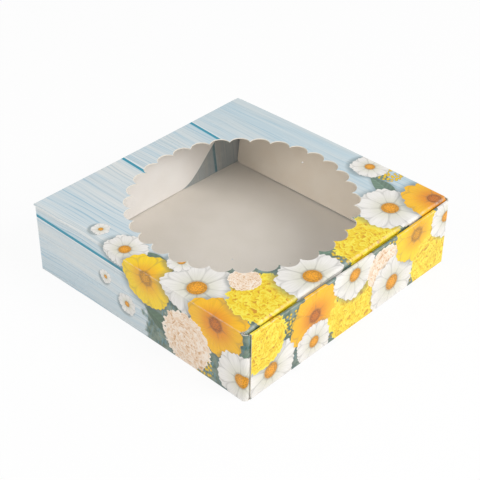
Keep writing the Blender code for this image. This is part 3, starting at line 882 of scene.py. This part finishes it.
WHITE_BLOOM = BLOOM, dict(petals=9, width=0.54, notch=0.06, tip=(239, 236, 231),
                          root=(220, 218, 200), heart=(236, 160, 10), core=0.24)
GOLD_BLOOM = BLOOM, dict(petals=6, width=0.60, notch=0.10, tip=(250, 190, 10),
                         root=(232, 140, 0), heart=(196, 110, 10), core=0.20)
YELLOW_BLOOM = BLOOM, dict(petals=8, width=0.56, notch=0.05, tip=(252, 212, 8),
                           root=(240, 170, 0), heart=(214, 150, 10), core=0.22)
YELLOW_ROSETTE = ROSETTE, dict(deep=(208, 146, 0), body=(240, 204, 0), light=(249, 232, 72))
PEACH_ROSETTE = ROSETTE, dict(deep=(206, 160, 112), body=(240, 212, 182), light=(250, 236, 220))
GREY_LEAF = LEAF, dict(width=0.19, green=(104, 130, 112))
DARK_LEAF = LEAF, dict(width=0.22, green=(82, 108, 84))
MIMOSA = SPRIG, dict(ball=(248, 206, 20))

# The print: each motif's middle on the blank, its radius (a leaf's length) and its turn in degrees
PRINT = [
    (GREY_LEAF, 20, -84, 34, 200), (DARK_LEAF, 52, -70, 36, 150), (GREY_LEAF, 70, -20, 32, 60),
    (DARK_LEAF, 84, 22, 34, 110), (GREY_LEAF, 76, 70, 34, 160), (DARK_LEAF, 40, -108, 30, 300),
    (GREY_LEAF, -2, -96, 24, 165), (DARK_LEAF, 88, -56, 30, 250), (GREY_LEAF, 58, 88, 30, 190),
    (DARK_LEAF, 10, -128, 30, 350), (GREY_LEAF, 76, -130, 30, 30), (GREY_LEAF, 92, 96, 24, 220),
    (WHITE_BLOOM, -44, -88, 7, 10), (MIMOSA, 52, 94, 10, 40), (MIMOSA, 34, -74, 9, 80),
    (MIMOSA, 78, 50, 9, 0), (WHITE_BLOOM, -28, -124, 6, 120), (WHITE_BLOOM, -8, -136, 9, 40),
    (MIMOSA, 62, -146, 10, 0), (MIMOSA, 90, 0, 9, 30),
    (WHITE_BLOOM, -16, -92, 17, 10), (YELLOW_BLOOM, 12, -104, 24, 30), (WHITE_BLOOM, 46, -88, 27, 55),
    (GOLD_BLOOM, 74, -106, 26, 15), (YELLOW_ROSETTE, 84, -66, 25, 0), (WHITE_BLOOM, 90, -30, 26, 20),
    (YELLOW_ROSETTE, 92, 24, 27, 40), (WHITE_BLOOM, 78, 62, 25, 5), (GOLD_BLOOM, 92, 92, 24, 50),
    (PEACH_ROSETTE, 48, -134, 22, 0), (WHITE_BLOOM, 96, -138, 22, 35), (WHITE_BLOOM, 36, 92, 15, 0),
    (PEACH_ROSETTE, 62, -62, 11, 30), (WHITE_BLOOM, 20, -76, 11, 20),
    (DARK_LEAF, 112, -200, 36, 20), (GREY_LEAF, 118, -250, 34, 70), (DARK_LEAF, 116, -300, 36, 130),
    (GREY_LEAF, 128, -172, 30, 330), (DARK_LEAF, 138, -330, 30, 200), (GREY_LEAF, 110, -340, 30, 90),
    (MIMOSA, 140, -194, 10, 0), (MIMOSA, 112, -236, 10, 50), (MIMOSA, 142, -290, 10, 20),
    (MIMOSA, 108, -318, 9, 80), (WHITE_BLOOM, 112, -176, 24, 10), (YELLOW_ROSETTE, 138, -168, 22, 0),
    (GOLD_BLOOM, 132, -216, 25, 30), (WHITE_BLOOM, 110, -216, 18, 50),
    (YELLOW_ROSETTE, 116, -256, 27, 10), (WHITE_BLOOM, 144, -254, 22, 0),
    (PEACH_ROSETTE, 134, -284, 17, 0), (WHITE_BLOOM, 114, -294, 25, 25),
    (YELLOW_BLOOM, 142, -318, 24, 5), (YELLOW_ROSETTE, 112, -336, 22, 60),
    (WHITE_BLOOM, 140, -350, 18, 40), (GREY_LEAF, 60, -380, 34, 10), (DARK_LEAF, 20, -368, 32, 170),
    (MIMOSA, 6, -380, 11, 0), (WHITE_BLOOM, 78, -378, 24, 0), (YELLOW_ROSETTE, 42, -388, 22, 10),
    (GOLD_BLOOM, 12, -398, 20, 30), (WHITE_BLOOM, -30, -374, 14, 0), (MIMOSA, -60, -392, 9, 60),
    (GREY_LEAF, -118, -200, 28, 200), (WHITE_BLOOM, -124, -180, 16, 0), (MIMOSA, -112, -216, 9, 0),
    (WHITE_BLOOM, 60, 122, 20, 10), (YELLOW_ROSETTE, 20, 128, 18, 0), (GREY_LEAF, 0, 118, 28, 10),
    (DARK_LEAF, 112, -78, 34, 70), (WHITE_BLOOM, 126, -66, 20, 15), (YELLOW_ROSETTE, 132, -18, 22, 30),
    (GREY_LEAF, 114, 4, 30, 60), (GOLD_BLOOM, 124, 34, 20, 0), (MIMOSA, 112, 62, 9, 0),
    (WHITE_BLOOM, 116, 80, 14, 20), (PEACH_ROSETTE, 86, 132, 14, 0), (WHITE_BLOOM, -40, 126, 9, 0),
]


# Materials

def new_material(name):
    """A material with its drawing and its Principled shader."""
    material = bpy.data.materials.new(name)
    material.use_nodes = True
    return material, Drawing(material.node_tree), material.node_tree.nodes["Principled BSDF"]


def blank_point(draw):
    """Where a point lies on the blank, in millimetres."""
    uv = draw.value("ShaderNodeUVMap", uv_map="blank")
    return draw.vector("SCALE", uv, scale=1 / MM)


def printed_board(name, area):
    """Glossy coated print: the planks, then every motif that reaches into the given area of the
    blank (lowest U, lowest V, highest U, highest V). Over the folds the print is paled, partly by
    rubbing and partly by a painted highlight. On the left wall's inner panel a painted shade makes
    the print duller and darker."""
    low_u, low_v, high_u, high_v = area
    material, draw, shader = new_material(name)
    point = blank_point(draw)
    painted = draw.group(PLANKS, point=point)
    if high_u > 0:
        painted = draw.group(UNDERGROWTH, under=painted.colour, point=painted.next)
    for i, ((motif, look), u, v, size, turn) in enumerate(PRINT):
        if low_u - size < u < high_u + size and low_v - size < v < high_v + size:
            painted = draw.group(motif, under=painted.colour, point=painted.next, x=u, y=v,
                                 size=size, turn=math.radians(turn), seed=i % 17, **look)
    colour = painted.colour
    # Painted shade: the left wall's inner panel lies in the box's shade, so its print is mixed towards a
    # duller grey and darkened here.
    if high_u < -90:
        panel = draw.ramp(draw.split(point)[0], -154, -151.5, 1, 0)
        painted_shade_colour = draw.mix(0.45, colour, (112, 110, 98))
        colour = draw.mix(panel, colour, draw.shade(painted_shade_colour, 0.80))
    # Over the folds the print is paled: partly rubbing of the print, partly a painted highlight.
    fold = draw.value("ShaderNodeAttribute", output="Fac", attribute_name="fold")
    paled_by_wear_and_highlight = fold * draw.ramp(draw.noise(point, 0.25, detail=3), 0.40, 0.65, 0.10, 0.34)
    smear = draw.noise(point, 0.05, detail=3)
    draw.fill(shader, {"Base Color": draw.mix(paled_by_wear_and_highlight, colour, (240, 238, 234)),
                       "Roughness": draw.ramp(smear, 0.3, 0.7, 0.20, 0.30),
                       "Specular IOR Level": 0.3, "Coat Weight": 0.25, "Coat Roughness": 0.05,
                       "Normal": draw.bump(draw.noise(point, 0.12), 0.12, 0.0004)})
    return material


def bare_board(name, dark, light):
    """The uncoated inner side: warm beige with a faint mottle between two tones and a fibre grain."""
    material, draw, shader = new_material(name)
    point = blank_point(draw)
    mottle = draw.noise(point, 0.05, detail=4)
    fibre = draw.noise(draw.vector("MULTIPLY", point, (0.9, 3, 1)), detail=4)
    colour = draw.mix(draw.ramp(mottle, 0.35, 0.65), dark, light)
    colour = draw.mix(draw.ramp(fibre, 0.55, 0.8, 0, 0.25), colour, draw.shade(colour, 0.86))
    draw.fill(shader, {"Base Color": colour, "Roughness": draw.ramp(mottle, 0.3, 0.7, 0.62, 0.74),
                       "Specular IOR Level": 0.2, "Normal": draw.bump(fibre, 0.15, 0.0001)})
    return material


def raw_edge():
    """The cut edge of the board, white with a fine fibre."""
    material, draw, shader = new_material("raw_edge")
    place = draw.value("ShaderNodeTexCoord", output="Object")
    fibre = draw.ramp(draw.noise(place, 2500, detail=3), 0.3, 0.7)
    draw.fill(shader, {"Base Color": draw.mix(fibre, (226, 218, 204), (240, 234, 222)),
                       "Roughness": 0.8, "Specular IOR Level": 0.2})
    return material


def clear_film():
    """Clear glossy film: nearly seen through, a painted reflection as a pale haze that grows at a low
    angle, and a few dust specks.
    """
    material, draw, shader = new_material("clear_film")
    place = draw.value("ShaderNodeTexCoord", output="Object")
    grazing = draw.value("ShaderNodeLayerWeight", output="Facing")
    distance, luck = draw.cells(place, 70, size="3D")
    speck = draw.ramp(distance, 0.055, 0.025) * (luck > 0.8)
    # Painted reflection: the film's pale base colour shows more at a low angle.
    painted_reflection_veil = grazing**4 * 0.4 + 0.01
    draw.fill(shader, {"Base Color": (240, 242, 244), "Roughness": 0.06,
                       "Alpha": draw.math("MAXIMUM", painted_reflection_veil, speck * 0.8)})
    return material


# The pieces

BARE = bare_board("bare_board", (230, 223, 212), (233, 226, 216))
# Painted light: a lighter copy of the bare board for the left flap's inside, which is lit through the
# window.
PAINTED_LIGHT_BARE = bare_board("bare_board_painted_light", (250, 246, 242), (253, 250, 247))
# Painted light: a warmer, lighter copy of the bare board for the tuck flap's inside, for the warm light
# bounced about in the box.
PAINTED_WARM_LIGHT_BARE = bare_board("bare_board_painted_warm_light", (246, 233, 214), (250, 239, 222))
RAW = raw_edge()


def dress(piece, slot, finishes, *nodes):
    """Gives a sheet its printed, bare and raw finishes, and hides the solids that it stands for. The
    slot is not used.
    """
    for finish in finishes:
        piece.data.materials.append(finish)
    if nodes:
        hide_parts(*nodes)


def dress_print(piece, area, *nodes, inside=BARE, slot="printed_board"):
    """Dresses a sheet that is printed with an area of the blank."""
    print_name = piece.name.removesuffix("_print") + "_print"
    dress(piece, slot, (printed_board(print_name, area), inside, RAW), *nodes)


def make_box():
    """All the pieces, standing for their solids; the tray's sheets, the lid's top and the film are put
    on their bodies.
    """
    bottom = make_tray_bottom()
    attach(bottom, "tray")
    dress_print(bottom, (-100, -354, 100, -154), "bottom_panel", slot="plain_board")

    for wall, end, left_tops, right_tops, area in (
            ("hinge", -1, (52.7, 52.6, 97.6), (52.7, 53.0, 96), (-150, -154, 150, -100)),
            ("tuck", 1, (52.2, 51.6, 97.6), (52.2, 52.2, 97.6), (-150, -408, 150, -354))):
        strip = make_end_strip(wall + "_wall_print", end, left_tops, right_tops)
        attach(strip, "tray")
        dress_print(strip, area, wall + "_wall", wall + "_left_dust_flap", wall + "_right_dust_flap")

    for hand, side, area, flap_area, inside, start, end in (
            ("right", 1, (98, -354, 208, -154), (96, -100, 150, 100), BARE,
             (0.0953, 0, 0.05355), (0.09685, 0, 0.0520)),
            # The left flap's inside gets the lighter copy of the bare board, painted light.
            ("left", -1, (-208, -354, -98, -154), (-150, -100, -96, 100), PAINTED_LIGHT_BARE,
             (-0.0990, 0, 0.0534), (-0.09685, 0, 0.0509))):
        strip = make_side_strip(hand + "_wall_print", side)
        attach(strip, "tray")
        dress_print(strip, area, hand + "_outer_wall", hand + "_roll_strip", hand + "_inner_wall")

        flap = make_side_flap("lid_" + hand + "_flap_print", side)
        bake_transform(flap)
        dress_print(flap, flap_area, "lid_" + hand + "_flap", inside=inside)

    lid = make_lid_top()
    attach(lid, "lid")
    dress_print(lid, (-99, -99, 97, 99), "lid_panel")

    crease = make_hinge_crease()
    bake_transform(crease)
    dress_print(crease, (-100, -102, 96, -98))

    tuck = make_tuck_flap()
    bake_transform(tuck)
    # The tuck flap's inside gets the warmer copy of the bare board, painted light.
    dress_print(tuck, (-95, 97, 95, 149), "lid_tuck_flap", inside=PAINTED_WARM_LIGHT_BARE)

    sheet = make_film()
    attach(sheet, "lid")
    dress(sheet, "clear_film", [clear_film()] * 3, "window_film")


# Camera and light

def make_camera():
    """The photograph's camera: it looks from an azimuth and elevation, rolled, at a set distance."""
    azimuth, elevation, roll = np.radians(CAMERA[:3])
    distance, focal, right_shift, up_shift = CAMERA[3:]
    back = np.array([np.sin(azimuth) * np.cos(elevation), -np.cos(azimuth) * np.cos(elevation),
                     np.sin(elevation)])
    right = np.array([np.cos(azimuth), np.sin(azimuth), 0.0])
    up = np.cross(back, right)
    right, up = np.cos(roll) * right + np.sin(roll) * up, np.cos(roll) * up - np.sin(roll) * right
    place = (right * right_shift + up * up_shift + back * distance) * MM
    data = bpy.data.cameras.new("camera")
    data.sensor_width = SENSOR
    data.lens = focal / PICTURE * SENSOR
    data.clip_start = 0.05
    data.shift_x, data.shift_y = -LENS_SHIFT[0] / PICTURE, LENS_SHIFT[1] / PICTURE
    camera = add_object("camera", data)
    turn = Matrix(np.column_stack([right, up, back]).tolist()).to_4x4()
    camera.matrix_world = Matrix.Translation(place.tolist()) @ turn
    bpy.context.scene.camera = camera


def add_lamp(name, place, size, power):
    """A soft square lamp that looks from its place towards the box."""
    data = bpy.data.lights.new(name, "AREA")
    data.shape = "SQUARE"
    data.size = size
    data.energy = power
    lamp = add_object(name, data)
    lamp.location = place
    lamp.rotation_euler = (Vector(LAMP_AIM) - Vector(place)).to_track_quat("-Z", "Y").to_euler()


def make_floor():
    """A white floor that the camera sees almost as bright as the surround."""
    mesh = bpy.data.meshes.new("floor")
    corners = [(x * FLOOR_HALF, y * FLOOR_HALF, 0) for x, y in ((-1, -1), (1, -1), (1, 1), (-1, 1))]
    mesh.from_pydata(corners, [], [(0, 1, 2, 3)])
    floor = add_object("floor", mesh)
    material, draw, shader = new_material("floor")
    draw.fill(shader, {"Base Color": (FLOOR_WHITE, FLOOR_WHITE, FLOOR_WHITE, 1), "Roughness": 0.9,
                       "Specular IOR Level": 0})
    share = draw.value("ShaderNodeLightPath", output="Is Camera Ray") * FLOOR_GLOW
    blend = draw.value("ShaderNodeMixShader", {0: share, 1: Value(draw, shader.outputs[0]),
                                               2: draw.value("ShaderNodeEmission")})
    draw.put(material.node_tree.nodes["Material Output"].inputs["Surface"], blend)
    mesh.materials.append(material)
    floor.visible_glossy = False


def make_studio():
    """A plain white floor and surround: white as the camera and reflections see it, and an even
    soft light from the world and the lamps."""
    scene = bpy.context.scene
    scene.world = bpy.data.worlds.new("studio")
    scene.world.use_nodes = True
    scene.world.node_tree.nodes.clear()
    draw = Drawing(scene.world.node_tree)
    path = draw.node("ShaderNodeLightPath")
    strength = WORLD_LIGHT
    for ray in ("Is Camera Ray", "Is Transmission Ray", "Is Glossy Ray"):
        strength = draw.math("MAXIMUM", Value(draw, path.outputs[ray]), strength)
    glow = draw.value("ShaderNodeBackground", {"Color": (1, 1, 1, 1), "Strength": strength})
    draw.node("ShaderNodeOutputWorld", {"Surface": glow})

    make_floor()
    for lamp in LAMPS:
        add_lamp(*lamp)
    scene.view_settings.view_transform = "Standard"


make_camera()
make_box()
make_studio()
